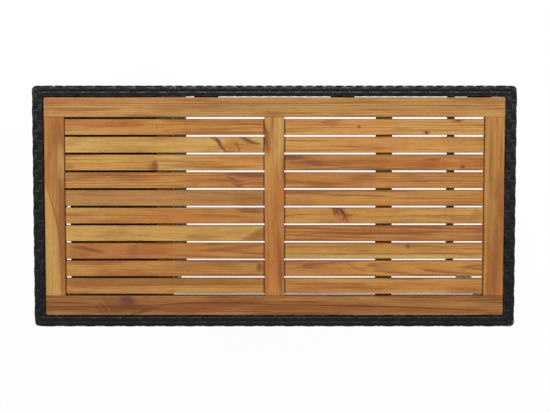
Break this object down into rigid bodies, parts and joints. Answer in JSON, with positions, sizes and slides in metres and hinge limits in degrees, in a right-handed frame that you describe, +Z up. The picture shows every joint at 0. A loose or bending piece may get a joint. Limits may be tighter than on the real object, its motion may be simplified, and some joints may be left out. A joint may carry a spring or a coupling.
{
  "type": "wicker bar table",
  "caption": "Tall bar table with a slatted hardwood top in a woven black rim, an open woven storage rack at one end and a woven leg frame at the other.",
  "frame": {"origin": "on the floor, under the middle of the table's outline", "axes": "+X along the table's length, away from the rack; +Y from the front long side to the rear one; +Z up"},
  "size_m": [1.2, 0.6, 1.1],
  "materials": {
    "acacia_wood": "oiled, semi-matt",
    "woven_strand": "satin, finely ribbed",
    "coated_steel": "satin powder coat",
    "glide_plastic": "matt",
    "zinc_fasteners": "zinc plated"
  },
  "bodies": {
    "root": {"deck_batten_left": "acacia_wood", "deck_batten_right": "acacia_wood", "deck_rail_front": "acacia_wood", "deck_rail_rear": "acacia_wood", "deck_stile_centre": "acacia_wood", "deck_stile_left": "acacia_wood", "deck_stile_right": "acacia_wood", "floor_bar_left": "coated_steel", "floor_bar_rack": "coated_steel", "floor_bar_right": "coated_steel", "foot_glides": "glide_plastic", "left_centre_post": "coated_steel", "left_frame_weave": "woven_strand", "left_panel_weave": "woven_strand", "leg_left_front": "coated_steel", "leg_left_rear": "coated_steel", "leg_right_front": "coated_steel", "leg_right_rear": "coated_steel", "panel_rods": "coated_steel", "rack_frame_weave": "woven_strand", "rack_panel_weave": "woven_strand", "rack_post_front": "coated_steel", "rack_post_rear": "coated_steel", "right_frame_weave": "woven_strand", "rim_bolts": "zinc_fasteners", "rim_tube_front": "coated_steel", "rim_tube_left": "coated_steel", "rim_tube_rear": "coated_steel", "rim_tube_right": "coated_steel", "rim_weave": "woven_strand", "rivet_nuts": "zinc_fasteners", "shelf_bolts": "zinc_fasteners", "shelf_brackets": "coated_steel", "shelf_frame_bottom": "coated_steel", "shelf_frame_middle": "coated_steel", "shelf_frame_upper": "coated_steel", "shelf_weave_bottom": "woven_strand", "shelf_weave_middle": "woven_strand", "shelf_weave_upper": "woven_strand", "slat_left_01": "acacia_wood", "slat_left_02": "acacia_wood", "slat_left_03": "acacia_wood", "slat_left_04": "acacia_wood", "slat_left_05": "acacia_wood", "slat_left_06": "acacia_wood", "slat_left_07": "acacia_wood", "slat_left_08": "acacia_wood", "slat_left_09": "acacia_wood", "slat_left_10": "acacia_wood", "slat_right_01": "acacia_wood", "slat_right_02": "acacia_wood", "slat_right_03": "acacia_wood", "slat_right_04": "acacia_wood", "slat_right_05": "acacia_wood", "slat_right_06": "acacia_wood", "slat_right_07": "acacia_wood", "slat_right_08": "acacia_wood", "slat_right_09": "acacia_wood", "slat_right_10": "acacia_wood", "wood_screws": "zinc_fasteners"}
  },
  "joints": []
}
